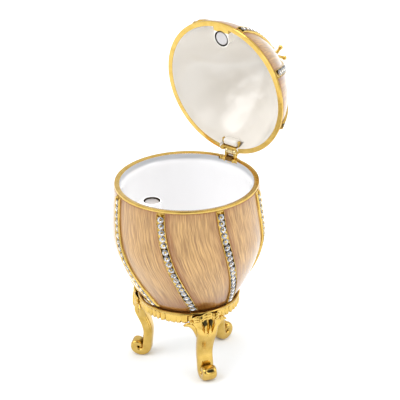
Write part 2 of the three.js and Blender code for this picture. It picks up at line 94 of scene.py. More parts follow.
class Finish:
    """A material on one Principled shader; plain values are set on the shader's own sockets."""

    def __init__(self, name, **values):
        self.material = bpy.data.materials.new(name)
        self.material.use_nodes = True
        self.nodes = self.material.node_tree.nodes
        self.shader = self.nodes["Principled BSDF"]
        for socket, value in values.items():
            self.shader.inputs[socket.replace("_", " ")].default_value = value

    def node(self, kind, settings=None, inputs=None, output=0):
        made = self.nodes.new(kind)
        for key, value in (settings or {}).items():
            setattr(made, key, value)
        for key, value in (inputs or {}).items():
            if isinstance(value, Wire):
                self.material.node_tree.links.new(value.socket, made.inputs[key])
            else:
                made.inputs[key].default_value = value
        return Wire(self, made.outputs[output])

    def place(self):
        return self.node("ShaderNodeTexCoord", output="Object")

    def noise(self, vector, scale, detail, distortion=0.0):
        inputs = {"Vector": vector, "Scale": scale, "Detail": detail, "Distortion": distortion}
        return self.node("ShaderNodeTexNoise", inputs=inputs)

    def mix(self, share, first, second):
        inputs = {0: share, 6: first, 7: second}
        return self.node("ShaderNodeMix", {"data_type": "RGBA"}, inputs, output=2)

    def feed(self, **wires):
        for socket, wire in wires.items():
            target = self.shader.inputs[socket.replace("_", " ")]
            self.material.node_tree.links.new(wire.socket, target)

    def bump(self, height, distance, strength):
        inputs = {"Height": height, "Distance": distance, "Strength": strength}
        self.feed(Normal=self.node("ShaderNodeBump", inputs=inputs))


def gold_finish(name, colour, tarnish, roughness):
    """Plated gold, wavy from the cast, duller where polishing missed it, painted black where the
    mesh marks painted shade and painted dark reflections.
    """
    finish = Finish(name, Metallic=1.0)
    place = finish.place()
    cloud = finish.noise(place, 420.0, 3.0)
    patch = ((cloud - 0.5) * 3.0 + 0.35).clamp()
    plate = finish.mix(patch, colour, tarnish)
    # painted shade: a mark on the mesh turns the gold black in shaded recesses and where dark
    # reflections are painted
    dark_mark = finish.node("ShaderNodeAttribute", {"attribute_name": "painted_dark"}, output="Fac")
    painted_black = (dark_mark * 1.3 - cloud * 0.3).clamp()
    finish.feed(
        Base_Color=finish.mix(painted_black, plate, (0.035, 0.028, 0.012, 1)),
        Roughness=patch * 0.06 + roughness,
    )
    finish.bump(finish.noise(place, 330.0, 2.0), 0.00012, 0.5)
    return finish.material


gold = gold_finish("polished_gold", (0.66, 0.445, 0.12, 1), (0.56, 0.36, 0.08, 1), 0.16)


def make_piece(name, bm, place, materials, body, slot, *replaced, crease=40):
    """Puts a finished mesh in its place as an object that rides on a CAD body."""
    bmesh.ops.transform(bm, matrix=place, verts=bm.verts)
    bmesh.ops.recalc_face_normals(bm, faces=bm.faces)
    for face in bm.faces:
        face.smooth = crease > 0
    for edge in bm.edges:
        if len(edge.link_faces) == 2 and edge.calc_face_angle(0) > radians(crease):
            edge.smooth = False
    mesh = bpy.data.meshes.new(name)
    bm.to_mesh(mesh)
    bm.free()
    for material in materials:
        mesh.materials.append(material)
    piece = bpy.data.objects.new(name, mesh)
    bpy.context.scene.collection.objects.link(piece)
    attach(piece, body)
    if replaced:
        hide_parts(*replaced)


def round_section(sides, power=1.0):
    """A unit circle, or with a lower power a squarer one."""
    turns = [2 * pi * (i + 0.5) / sides for i in range(sides)]

    def swell(value):
        return (abs(value) ** power) * (1 if value > 0 else -1)

    return [(swell(cos(turn)), swell(sin(turn))) for turn in turns]


def sweep(bm, section, stations):
    """Extrudes a flat closed section from each station to the next."""
    corners = [bm.verts.new(stations[0] @ Vector((x, y, 0))) for x, y in section]
    face = bm.faces.new(corners)
    drawn = list(corners)
    for before, after in pairwise(stations):
        grown = bmesh.ops.extrude_face_region(bm, geom=[face])["geom"]
        corners = [part for part in grown if isinstance(part, bmesh.types.BMVert)]
        face = next(part for part in grown if isinstance(part, bmesh.types.BMFace))
        bmesh.ops.transform(bm, matrix=after @ before.inverted(), verts=corners)
        drawn += corners
    return drawn


def station(point, across, up, along):
    """The matrix that puts a section's X on across, its Y on up and its middle on point."""
    columns = Matrix((across, up, along)).transposed().to_4x4()
    return Matrix.Translation(point) @ columns


def bar_stations(points, side, depths, widths):
    """Stations on a line of points that bends in the plane across side."""
    stations = []
    for i, point in enumerate(points):
        along = points[min(i + 1, len(points) - 1)] - points[max(i - 1, 0)]
        along.normalize()
        across = side.cross(along).normalized()
        stations.append(station(point, across * depths[i], side * widths[i], along))
    return stations


def spread(start, end, count):
    """Evenly spaced values, both ends with them."""
    return [start + (end - start) * i / (count - 1) for i in range(count)]


def ease(start, end, share):
    """A smooth step from start to end as share runs from 0 to 1."""
    share = min(max(share, 0), 1)
    return start + (end - start) * share * share * (3 - 2 * share)


def polar(radius, azimuth, z):
    """Azimuths run from the front, towards +X."""
    return Vector((radius * sin(azimuth), -radius * cos(azimuth), z))


def stand_point(radius, z, aside=0.0):
    """A point on or beside a leg that runs out to the front."""
    return Vector((aside, -radius, z))


LEG_LINE = [(14.2, 19.8), (17.5, 15.8), (11.7, 12.0), (12.6, 6.2)]
SCROLL_CENTRE = (15.35, 2.65)
SCROLL_START, SCROLL_UNDER = radians(172), radians(290)
SCROLL_TOP, SCROLL_END = radians(405), radians(585)
ANKLE_REACH, UNDER_REACH, TIP_REACH = 2.3, 1.4, 0.2  # from the scroll's centre to the bar's middle
# painted dark reflection: the dimple is painted black as well as pushed in
SCROLL_EYE = (radians(30), 2.65)  # a dimple in the roll's outer face: angle and reach
KNEE_WIDTH, ANKLE_WIDTH, SCROLL_WIDTH = 3.7, 2.4, 2.2  # half widths
KNEE_DEPTH, ANKLE_DEPTH, STRAP_DEPTH, TIP_DEPTH = 0.8, 1.5, 1.25, 0.35  # half depths
SIDE = Vector((1, 0, 0))


def scroll_point(angle, reach):
    return stand_point(
        SCROLL_CENTRE[0] + reach * cos(angle),
        SCROLL_CENTRE[1] + reach * sin(angle),
    )


def leg_section():
    """A squarish bar with a fine groove inside each edge of its outer face."""
    section = []
    for x, y in round_section(44, 0.62):
        groove = 0.07 * max(1 - abs(abs(y) - 0.74) / 0.07, 0) if x < -0.5 else 0
        section.append((x + groove, y))
    return section


def draw_leg(bm, painted_dark):
    """The bar of a leg: down the shin, round under the scroll and over its top."""
    points = interpolate_bezier(*(stand_point(*corner) for corner in LEG_LINE), 22)[:-1]
    shares = [i / (len(points) - 1) for i in range(len(points))]
    depths = [ease(KNEE_DEPTH, ANKLE_DEPTH, (share - 0.16) / 0.24) for share in shares]
    widths = [ANKLE_WIDTH + (KNEE_WIDTH - ANKLE_WIDTH) * (1 - share) ** 1.5 for share in shares]
    painted_black = [0] * len(points)
    for angle in spread(SCROLL_START, SCROLL_END, 48):
        down = (angle - SCROLL_START) / (SCROLL_UNDER - SCROLL_START)
        tip = (max(angle - SCROLL_TOP, 0) / (SCROLL_END - SCROLL_TOP)) ** 0.75
        # painted shade: black over the scroll's top and on to its tip, where it curls in close to
        # the shin
        painted_black.append(ease(0, 1, (angle - SCROLL_TOP - radians(20)) / radians(60)))
        reach = ease(ANKLE_REACH, UNDER_REACH, down)
        points.append(scroll_point(angle, reach - (UNDER_REACH - TIP_REACH) * tip))
        depths.append(ease(ANKLE_DEPTH, STRAP_DEPTH, down) - (STRAP_DEPTH - TIP_DEPTH) * tip)
        widths.append(ease(ANKLE_WIDTH, SCROLL_WIDTH, down) - 0.5 * tip ** 2)
    drawn = sweep(bm, leg_section(), bar_stations(points, SIDE, depths, widths))
    eye = scroll_point(*SCROLL_EYE)
    for i, vert in enumerate(drawn):
        middle = ease(1, 0, (abs(vert.co.x) - 1.35) / 0.5)
        away = vert.co - eye
        dimple = ease(1, 0, (hypot(away.x / 1.6, away.y, away.z) - 0.45) / 0.45)
        vert[painted_dark] = max(painted_black[i * len(painted_black) // len(drawn)] * middle, dimple)
        vert.co += Vector((0, 0.25, -0.15)) * dimple


LEAF_TOP, LEAF_FOOT = 22.0, 15.5  # heights
FOOT_HALF, TOP_HALF, LEAF_THICKNESS = 1.9, 4.35, 0.8  # half widths at the foot and at the top
SIDE_LOBE = 0.8  # place of a side lobe, as a share of the half width
SIDE_HALF, MIDDLE_HALF = 0.21, 0.34  # half widths of a side lobe and of the middle one, in shares
LEAF_FLUTES = 4  # across the leaf, between five ribs


def leaf_lobe(aside):
    """How much of a lobe stands at that share of the way across the leaf, and how high it ends."""
    middle = max(1 - (aside / MIDDLE_HALF) ** 2, 0) ** 0.5
    outer = max(1 - ((abs(aside) - SIDE_LOBE) / SIDE_HALF) ** 2, 0) ** 0.5
    return max(middle, outer), 0.75 * middle + 0.55 * outer - 1.6 * abs(aside) ** 2


def leaf_flute(aside, rise):
    """How deep the leaf is hollowed there, from 0 to 1."""
    window = ease(0, 1, (rise - 0.03) / 0.12) * ease(1, 0, (rise - 0.7) / 0.16)
    return window * abs(sin(LEAF_FLUTES * pi / 2 * aside)) ** 0.8


def leaf_place(point):
    """Bends a flat square, one unit each way from its middle, over the knee as a hollowed leaf."""
    aside, rise = point.x, (point.y + 1) / 2
    lobe, crown = leaf_lobe(aside)
    height = LEAF_FOOT + 1.1 * aside * aside * (1 - rise)
    height += (LEAF_TOP + crown - LEAF_FOOT) * rise
    width = ease(FOOT_HALF, TOP_HALF, rise ** 0.8)
    radius = 16.05 + 1.15 * sin(pi * min(rise * 0.9 + 0.12, 1)) - 1.7 * abs(aside) ** 2.4
    radius += 0.5 * lobe * ease(0, 1, (rise - 0.72) / 0.2)
    depth = ease(0.9, 0.5, (abs(aside) - 0.5) / 0.2)
    radius += 0.12 * ease(1, 0, rise / 0.1) - depth * leaf_flute(aside, rise)
    return stand_point(radius, height, aside * width)


def draw_leaf(bm, painted_dark):
    """The leaf over a knee, painted black down its middle flutes as shade and dark reflection, and
    bright behind.
    """
    grid = bmesh.ops.create_grid(bm, x_segments=72, y_segments=44, size=1)["verts"]
    for vert in grid:
        deep = ease(0, 1, (leaf_flute(vert.co.x, (vert.co.y + 1) / 2) - 0.4) / 0.5)
        # painted shade and painted dark reflection down the middle flutes
        vert[painted_dark] = deep * ease(1, 0, (abs(vert.co.x) - 0.45) / 0.2)
        vert.co = leaf_place(vert.co)
    faces = list({face for vert in grid for face in vert.link_faces})
    for part in bmesh.ops.solidify(bm, geom=faces, thickness=LEAF_THICKNESS)["geom"]:
        if isinstance(part, bmesh.types.BMVert):
            part[painted_dark] = 0


EAR_LINE = [(2.2, 12.8), (2.9, 17.8), (4.2, 19.3), (6.6, 18.1)]  # aside and height
EAR_RADIUS = 15.0
BEAD_ASIDE, BEAD_RADIUS = 4.6, 0.6


def draw_ears(bm):
    """A pointed leaf runs up each side of the shin and out under the collar, a bead behind it."""
    for side in (-1, 1):
        flat = interpolate_bezier(*(Vector((x, z)) for x, z in EAR_LINE), 18)
        shares = spread(0, 1, 18)
        points = [
            stand_point((EAR_RADIUS ** 2 - x * x) ** 0.5 - ease(0.9, 0, share), z, side * x)
            for (x, z), share in zip(flat, shares)
        ]
        depths = [0.15 + 0.85 * sin(pi * (0.04 + 0.94 * share)) ** 0.8 for share in shares]
        widths = [ease(1.1, 0.4, share) for share in shares]
        sweep(bm, round_section(14), bar_stations(points, Vector((0, 1, 0)), depths, widths))
        bead = Matrix.Translation(stand_point(14.7, 19.5, side * BEAD_ASIDE))
        bmesh.ops.create_uvsphere(
            bm, u_segments=14, v_segments=8, radius=BEAD_RADIUS, matrix=bead
        )


COLLAR_TOP, COLLAR_BOTTOM, COLLAR_RADIUS = 22.3, 18.6, 14.9
COLLAR_CLEARANCE = 0.35  # between the collar and the egg
FLUTES, FLUTE_DEPTH = 52, 0.5
COLLAR_COLUMNS = 720
BELLY_RADIUS, BELLY_HEIGHT, BELLY_DEPTH = 22.2, 43.1, 38.1  # depth from the belly to the point


def bowl_radius(z):
    """The egg's outside below its rim: a bulge at the belly that narrows to a point."""
    if z < BELLY_HEIGHT:
        return BELLY_RADIUS * (1 - ((BELLY_HEIGHT - z) / BELLY_DEPTH) ** 1.66)
    up = (z - BELLY_HEIGHT) / (RIM_HEIGHT - BELLY_HEIGHT)
    return BELLY_RADIUS - 1.2 * up * up


def flute(azimuth):
    """How deep the collar is cut, from 0 to 1; the cuts are uneven, as they were done by hand."""
    drift = 0.9 * sin(5 * azimuth) + 0.7 * sin(13 * azimuth + 1)
    wave = 0.5 - 0.5 * cos(FLUTES * azimuth + drift)
    fine = 0.5 - 0.5 * cos(2.3 * FLUTES * azimuth + 2 * sin(9 * azimuth))
    return wave ** 2 * (0.65 + 0.35 * sin(7 * azimuth + 2)) + 0.3 * fine


def draw_collar(bm, painted_dark):
    """A ring turned from its outline, then fluted all round below its moulding."""
    heights = spread(COLLAR_TOP - 0.1, COLLAR_BOTTOM + 0.4, 4)
    inside = [(bowl_radius(z) + COLLAR_CLEARANCE, z) for z in heights]
    outside = [
        (COLLAR_RADIUS - 0.5, COLLAR_BOTTOM),
        (COLLAR_RADIUS - 0.1, COLLAR_BOTTOM + 0.25),
        (COLLAR_RADIUS + 0.05, COLLAR_BOTTOM + 0.7),
        (COLLAR_RADIUS, COLLAR_BOTTOM + 1.4),
        (COLLAR_RADIUS - 0.05, COLLAR_BOTTOM + 2.0),
        (COLLAR_RADIUS - 0.1, COLLAR_TOP - 1.2),
        (COLLAR_RADIUS - 0.15, COLLAR_TOP - 0.95),
        (COLLAR_RADIUS + 0.1, COLLAR_TOP - 0.75),
        (COLLAR_RADIUS + 0.2, COLLAR_TOP - 0.4),
        (COLLAR_RADIUS + 0.05, COLLAR_TOP - 0.1),
        (COLLAR_RADIUS - 0.3, COLLAR_TOP),
    ]
    corners = [bm.verts.new((radius, 0, z)) for radius, z in inside + outside]
    edges = [bm.edges.new(pair) for pair in pairwise(corners + corners[:1])]
    bmesh.ops.spin(
        bm, geom=corners + edges, axis=(0, 0, 1), cent=(0, 0, 0), angle=2 * pi,
        steps=COLLAR_COLUMNS, use_merge=True,
    )
    for vert in bm.verts:
        radius, azimuth = hypot(vert.co.x, vert.co.y), atan2(vert.co.x, -vert.co.y)
        outer = radius > COLLAR_RADIUS - 0.6
        below = ease(1, 0, (vert.co.z - (COLLAR_TOP - 1.5)) / 0.5)
        if outer and below > 0:
            cut = flute(azimuth) * below
            vert.co = polar(radius - FLUTE_DEPTH * cut, azimuth, vert.co.z)
            low = ease(1, 0, (vert.co.z - COLLAR_BOTTOM) / 1.4)
            # painted shade in the deeper cuts, darkest towards the bottom edge
            vert[painted_dark] = 0.6 * ease(0, 1, (cut - 0.4) / 0.5) * (0.25 + 0.75 * low)
            if vert.co.z < COLLAR_BOTTOM + 0.5:
                vert.co.z += 0.45 * cut


FIRST_LEG = 58.5  # degrees from the front, and two more at thirds of a turn
stand_bm = bmesh.new()
# painted shade and painted dark reflections, marked on the stand's mesh
stand_painted_dark = stand_bm.verts.layers.float.new("painted_dark")
draw_leg(stand_bm, stand_painted_dark)
draw_leaf(stand_bm, stand_painted_dark)
draw_ears(stand_bm)
leg_parts = list(stand_bm.verts) + list(stand_bm.edges) + list(stand_bm.faces)
first_turn = Matrix.Rotation(radians(FIRST_LEG), 3, "Z")
bmesh.ops.rotate(stand_bm, cent=(0, 0, 0), matrix=first_turn, verts=stand_bm.verts)
for turn in (120, 240):
    copy = bmesh.ops.duplicate(stand_bm, geom=leg_parts)["geom"]
    verts = [part for part in copy if isinstance(part, bmesh.types.BMVert)]
    leg_turn = Matrix.Rotation(radians(turn), 3, "Z")
    bmesh.ops.rotate(stand_bm, cent=(0, 0, 0), matrix=leg_turn, verts=verts)
collar_bm = bmesh.new()
draw_collar(collar_bm, collar_bm.verts.layers.float.new("painted_dark"))
collar_mesh = bpy.data.meshes.new("collar")
collar_bm.to_mesh(collar_mesh)
collar_bm.free()
stand_bm.from_mesh(collar_mesh)
bpy.data.meshes.remove(collar_mesh)
for vert in stand_bm.verts:
    vert.co.z = max(vert.co.z, 0)
make_piece("stand_casting", stand_bm, egg_place, [gold], "base", "gold", "stand")


# ---- Bowl and lid shells ----
# The two halves of the egg are thin castings, lathed here from their outlines. Outside they are
# enamelled over brushed metal, inside in plain white, painted darker in the lid as shade, and each
# has a bare gold rim.

WALL, RIM_RADIUS = 1.5, 21.0
BAND_COUNT = 8
FIRST_BAND, FRONT_PITCH, FRONT_GAPS = -28.0, 46.5, 3  # the gaps at the front are evenly pitched
BACK_PITCH = (360 - FRONT_GAPS * FRONT_PITCH) / (BAND_COUNT - FRONT_GAPS)
BOWL_SWIRL, LID_SWIRL = 25.5, 16.0  # degrees that the bands wind round
BOWL_BAND_END, LID_BAND_END = 34.4, 18.5  # from the rims
LID_HEIGHT = 22.4
LID_SEAT_GAP = 0.3  # between the two rims when the lid is down
LID_OPEN = radians(hinge_joint["range_deg"][1])
lid_place = (
    Matrix.Translation(hinge_place)
    @ Matrix.Rotation(-LID_OPEN, 4, "X")
    @ Matrix.Scale(MM, 4)
    @ Matrix.Translation((0, -HINGE_RADIUS, LID_SEAT_GAP - HINGE_RISE))
)


def band_azimuth(band):
    front = min(band, FRONT_GAPS)
    return radians(FIRST_BAND + front * FRONT_PITCH + (band - front) * BACK_PITCH)


def panel_share(turn):
    """How many panels lie between the first band and a point that far round from it."""
    front = FRONT_GAPS * radians(FRONT_PITCH)
    if turn < front:
        return turn / radians(FRONT_PITCH)
    return FRONT_GAPS + (turn - front) / radians(BACK_PITCH)


class Half:
    """One half of the egg, described by the distance t from its own rim.

    Its bands wind by swirl degrees over swirl_depth and stop at band_end.
    """

    def __init__(self, radius, swirl, swirl_depth, height, band_end, place, body):
        self.radius, self.height, self.band_end = radius, height, band_end
        self.place, self.body = place, body
        self.swirl = lambda t: radians(swirl) * (t / swirl_depth) ** 1.8

    def point(self, t, azimuth, lift=0.0):
        """A point over the outside, lifted along the surface's normal."""
        step = 0.02
        rise = self.radius(t + step) - self.radius(max(t - step, 0))
        slope = rise / (step + min(t, step))
        scale = 1 / hypot(1, slope)
        down = self.height(1) - self.height(0)
        return polar(
            self.radius(t) + lift * scale,
            azimuth,
            self.height(t) - down * lift * slope * scale,
        )


bowl_half = Half(
    lambda t: bowl_radius(RIM_HEIGHT - t), BOWL_SWIRL, BOWL_BAND_END,
    lambda t: RIM_HEIGHT - t, BOWL_BAND_END, egg_place, "base",
)
lid_half = Half(
    lambda t: RIM_RADIUS * max(1 - (t / LID_HEIGHT) ** 1.5, 0) ** 0.85, LID_SWIRL, LID_HEIGHT,
    lambda t: t, LID_BAND_END, lid_place, "lid",
)


def enamel_finish(name, light, dark, pool_and_shade, flush):
    """Clear peach enamel over brushed metal, deepest in colour where it pools by the bands, with a
    painted shadow line of that colour just under the rim.
    """
    finish = Finish(name, Coat_Weight=1.0, Coat_Roughness=0.03, Coat_IOR=1.5)
    panel = finish.node("ShaderNodeUVMap", {"uv_map": "panel"})
    place = finish.place()

    def hairs(across, along, detail, distortion=0.0):
        """Strokes along a panel: so many to its width and its length, and wandering a little."""
        stretch = finish.node(
            "ShaderNodeVectorMath", {"operation": "MULTIPLY"}, {0: panel, 1: (across, along, 1.0)}
        )
        wander = finish.noise(place, 170.0, 2.0) * (across * 0.07)
        sideways = finish.node("ShaderNodeCombineXYZ", inputs={"X": wander})
        bent = finish.node(
            "ShaderNodeVectorMath", {"operation": "ADD"}, {0: stretch, 1: sideways}
        )
        return finish.noise(bent, 1.0, detail, distortion)

    streak = ((hairs(64.0, 3.0, 2.0) - 0.5) * 6.5 + 0.5).clamp()
    brush = ((hairs(27.0, 1.9, 3.0, 0.3) - 0.5) * 3.6 + 0.5).clamp()
    cloud = ((finish.noise(place, 95.0, 2.0) - 0.5) * 2.2 + 0.5).clamp()
    near = finish.node("ShaderNodeAttribute", {"attribute_name": "pooling_and_shade"}, output="Fac")
    pooled_and_shaded = (near * (brush * 0.5 - streak * 0.3 + 0.8)).clamp()
    body = finish.mix((streak * 0.6 + brush * 0.4).clamp(), dark, light)
    blushed = finish.mix(cloud * 0.18, body, flush)
    finish.feed(
        Base_Color=finish.mix(pooled_and_shaded, blushed, pool_and_shade),
        Roughness=streak * 0.16 + 0.30,
        Metallic=brush * 0.15 + 0.28,
    )
    finish.bump(streak * 0.6 + brush * 0.4, 0.00010, 0.35)
    return finish.material


def white_enamel_finish(name, colour, shade, waves):
    """Opaque white enamel, fired glossy and not quite even, painted grey just under the rim as
    shade on the steep wall.
    """
    finish = Finish(name, Coat_Weight=1.0, Coat_Roughness=0.02, Specular_IOR_Level=0.6)
    place = finish.place()
    cloud = finish.noise(place, 55.0, 2.0)
    rim_wall_shade = finish.node("ShaderNodeAttribute", {"attribute_name": "rim_wall_shade"}, output="Fac")
    even = finish.mix(cloud * 0.5, colour, shade)
    finish.feed(
        # painted shade: grey on the inside wall just under the rim
        Base_Color=finish.mix(rim_wall_shade, even, (0.50, 0.51, 0.54, 1)),
        Roughness=cloud * 0.06 + 0.12,
    )
    finish.bump(finish.noise(place, 75.0, 1.0), waves, 0.6)
    return finish.material


peach_enamel = enamel_finish(
    "peach_enamel", light=(0.62, 0.365, 0.12, 1), dark=(0.225, 0.098, 0.012, 1),
    pool_and_shade=(0.25, 0.078, 0.004, 1), flush=(0.61, 0.335, 0.14, 1),
)
white_enamel = white_enamel_finish(
    "white_enamel", (0.98, 0.98, 0.99, 1), (0.96, 0.95, 0.95, 1), waves=0.0006
)
# painted shade: a darker, warmer copy of the white enamel for the lid's inside, tongue, pad and
# fills
lid_shade_enamel = white_enamel_finish(
    "lid_shade_enamel", (0.84, 0.795, 0.73, 1), (0.77, 0.725, 0.655, 1), waves=0.006
)
OUTSIDE, RIM, INSIDE = 0, 1, 2  # material slots of a shell

SHELL_COLUMNS = 240
RIM_BAND, RIM_INSIDE = 0.75, 0.3  # heights of the bare gold, outside and inside the rim


def draw_shell(half, outline, closing):
    """Lathes an outline of (t, depth under the surface), and corners that close it on the axis."""
    bm = bmesh.new()
    first = band_azimuth(0)
    corners = [bm.verts.new(half.point(t, first, -depth)) for t, depth in outline]
    corners += [bm.verts.new(polar(radius, first, z)) for radius, z in closing]
    edges = [bm.edges.new(pair) for pair in pairwise(corners)]
    bmesh.ops.spin(
        bm, geom=corners + edges, axis=(0, 0, 1), cent=(0, 0, 0), angle=2 * pi,
        steps=SHELL_COLUMNS, use_merge=True,
    )
    bmesh.ops.remove_doubles(bm, verts=bm.verts, dist=0.002)
    return bm


def mark_shell(half, bm):
    """Gives each face its finish and a place on its panel, and each corner its depth of colour and
    its painted shade.
    """
    panel = bm.loops.layers.uv.new("panel")
    pooling_and_shade, painted_dark, rim_wall_shade = (
        bm.verts.layers.float.new(name) for name in ("pooling_and_shade", "painted_dark", "rim_wall_shade")
    )
    first = band_azimuth(0)
    rim_z, down = half.height(0), half.height(1) - half.height(0)

    def turn_of(point):
        return (atan2(point.x, -point.y) - first) % (2 * pi)

    def outside_radius(point, t):
        return hypot(point.x, point.y) > half.radius(t) - WALL / 2

    for vert in bm.verts:
        t = max((vert.co.z - rim_z) * down, 0)
        share = panel_share(turn_of(vert.co))
        aside = (share - round(share)) * radians(45) * hypot(vert.co.x, vert.co.y)
        by_band = ease(1, 0, (abs(aside) - 0.9) / 3.4) ** 1.2 * (1 if aside > 0 else 0.5)
        by_end = ease(0, 1, (t - 0.78 * half.band_end) / (0.26 * half.band_end))
        # painted shadow: a dark line in the enamel just under the gold rim
        rim_shadow = 0.3 * ease(1, 0, (t - 0.9) / 2.5) + 0.6 * ease(1, 0, (t - 0.8) / 0.5)
        vert[pooling_and_shade] = min(by_band + by_end + rim_shadow, 1)
        outside = outside_radius(vert.co, t)
        # painted shadow: the groove under the gold rim is painted black
        vert[painted_dark] = 1 if 0.72 < t < 0.84 and outside else 0
        # painted shade: the bowl's inside wall is painted grey just under the rim
        vert[rim_wall_shade] = 0 if outside or half.body == "lid" else ease(1, 0, (t - 1.5) / 0.8)
    for face in bm.faces:
        middle = face.calc_center_median()
        t = max((middle.z - rim_z) * down, 0)
        outside = outside_radius(middle, t)
        face.material_index = OUTSIDE if outside else INSIDE
        if t < (RIM_BAND if outside else RIM_INSIDE):
            face.material_index = RIM
        around = turn_of(middle)
        for loop in face.loops:
            turn = turn_of(loop.vert.co)
            if hypot(loop.vert.co.x, loop.vert.co.y) < 0.01:
                turn = around
            elif turn - around > pi:
                turn -= 2 * pi
            elif around - turn > pi:
                turn += 2 * pi
            share = panel_share(turn) if turn > 0 else turn / radians(FRONT_PITCH)
            loop[panel].uv = (share, (loop.vert.co.z - rim_z) * down / 20)


def swirl_shell(half, bm):
    """Turns the shell so that its columns, and the strokes under the enamel, follow the bands."""
    rim_z, down = half.height(0), half.height(1) - half.height(0)
    for vert in bm.verts:
        t = max((vert.co.z - rim_z) * down, 0)
        vert.co = Matrix.Rotation(half.swirl(t), 3, "Z") @ vert.co


RIM_OUTLINE = [
    (0.86, 0), (0.80, 0.06), (0.75, 0.09), (0.70, 0.02), (0.62, 0),
    (0.10, 0), (0.03, 0.03), (0, 0.10), (0, WALL - 0.10), (0.03, WALL - 0.03),
    (0.10, WALL), (0.30, WALL), (0.34, WALL + 0.02),
]  # a groove under the gold, then round over the rim to the inside
NOTCH_HALF_WIDTH, NOTCH_DEPTH = 3.4, 2.9


def cut_notch(half, bm, inner_depth):
    """Opens the rim at the back, where the hinge's leaves are let in."""
    rim_z, down = half.height(0), half.height(1) - half.height(0)
    lines = [((side * NOTCH_HALF_WIDTH, 0, 0), (1, 0, 0)) for side in (-1, 1)]
    lines += [((0, 0, rim_z + down * depth), (0, 0, 1)) for depth in {NOTCH_DEPTH, inner_depth}]
    for point, normal in lines:
        near = [
            part
            for group in (bm.verts, bm.edges, bm.faces)
            for part in group
            if all(
                vert.co.y > 12 and abs(vert.co.x) < 8 and abs(vert.co.z - rim_z) < 6
                for vert in getattr(part, "verts", [part])
            )
        ]
        bmesh.ops.bisect_plane(bm, geom=near, dist=1e-4, plane_co=point, plane_no=normal)
    gone = []
    for face in bm.faces:
        middle = face.calc_center_median()
        behind = abs(middle.x) < NOTCH_HALF_WIDTH and middle.y > 12
        depth = abs(middle.z - rim_z)
        outer = hypot(middle.x, middle.y) > half.radius(depth) - WALL / 2
        if behind and depth < (NOTCH_DEPTH if outer else inner_depth):
            gone.append(face)
    bmesh.ops.delete(bm, geom=gone, context="FACES")
    ends = [edge for edge in bm.edges if edge.is_boundary]
    bmesh.ops.holes_fill(bm, edges=ends, sides=0)
    for face in bm.faces:
        if face.material_index < 0:
            face.material_index = RIM


BOWL_FOOT, BOWL_FLOOR = 17.5, 1.8
foot_t = RIM_HEIGHT - BOWL_FOOT
bowl_outline = [(t, 0) for t in spread(foot_t, 1.2, 44)] + RIM_OUTLINE
bowl_outline += [(0.9, WALL + 0.05), (1.3, WALL + 0.25), (1.7, WALL + 0.62), (2.2, WALL + 0.88)]
bowl_outline += [(t, WALL + 1) for t in spread(3.0, foot_t - 6, 26)]
bowl_corner = bowl_half.point(foot_t - 6, band_azimuth(0), -WALL - 1)
floor_z = BOWL_FOOT + BOWL_FLOOR
corner_radius = hypot(bowl_corner.x, bowl_corner.y)
fillet = interpolate_bezier(
    Vector((corner_radius, 0, bowl_corner.z)),
    Vector((corner_radius - 2, 0, floor_z + 0.5)),
    Vector((corner_radius - 3, 0, floor_z)),
    Vector((6, 0, floor_z)),
    10,
)[1:]
bowl_closing = [(point.x, point.z) for point in fillet] + [(0, floor_z)]
bowl_bm = draw_shell(bowl_half, bowl_outline, bowl_closing)
foot_edges = [edge for edge in bowl_bm.edges if edge.is_boundary]
bmesh.ops.holes_fill(bowl_bm, edges=foot_edges, sides=0)
mark_shell(bowl_half, bowl_bm)
swirl_shell(bowl_half, bowl_bm)
cut_notch(bowl_half, bowl_bm, 1.0)
make_piece(
    "bowl_casting", bowl_bm, egg_place, [peach_enamel, gold, white_enamel],
    "base", "peach_enamel", "bowl",
)


def dome_depths(height, count):
    """Distances from the rim to the top, closer together where the dome turns over."""
    return [height * (1 - (1 - i / (count - 1)) ** 2.2) for i in range(count)]


dome = dome_depths(LID_HEIGHT - 1e-4, 40)
lid_outline = [(t, 0) for t in reversed(dome) if t > 1.1] + RIM_OUTLINE
lid_outline += [(t, WALL) for t in dome if t > 0.6]
lid_bm = draw_shell(lid_half, lid_outline, [])
mark_shell(lid_half, lid_bm)
swirl_shell(lid_half, lid_bm)
cut_notch(lid_half, lid_bm, NOTCH_DEPTH)
make_piece(
    "lid_casting", lid_bm, lid_place, [peach_enamel, gold, lid_shade_enamel],
    "lid", "peach_enamel", "lid",
)


# ---- Settings ----
# Each band is a shallow gold channel between two raised ridges, cast with the shell. It winds
# round the egg and runs out into the enamel at both ends.

BAND_START, RUN_OUT = 1.3, 0.7
SETTING_STEPS = {"bowl_settings": 46, "lid_settings": 30}
SETTING_SECTION = [
    (-1.30, -0.25), (-1.27, 0.12), (-1.22, 0.44), (-1.12, 0.58), (-1.02, 0.46), (-0.96, 0.16),
    (0.96, 0.16), (1.02, 0.46), (1.12, 0.58), (1.22, 0.44), (1.27, 0.12), (1.30, -0.25),
]  # across the band and above the enamel


def band_station(half, t, band):
    """The matrix of a band at a depth: X across it, Y out of the surface and Z along it."""
    azimuth = band_azimuth(band)
    step = 0.05
    here = half.point(t, azimuth + half.swirl(t))
    ahead = half.point(t + step, azimuth + half.swirl(t + step))
    out = (half.point(t, azimuth + half.swirl(t), 1) - here).normalized()
    along = (ahead - here).normalized()
    return station(here, out.cross(along).normalized(), out, along)


def draw_setting(bm, half, band, count):
    """Sweeps a channel down its band, lower towards both ends."""
    start, end = BAND_START - 0.5, half.band_end + RUN_OUT
    stations = []
    for t in spread(start, end, count):
        lift = ease(0.3, 1, min(t - start, end - t) / RUN_OUT)
        stations.append(band_station(half, t, band) @ Matrix.Diagonal((1, lift, 1, 1)))
    sweep(bm, SETTING_SECTION, stations)


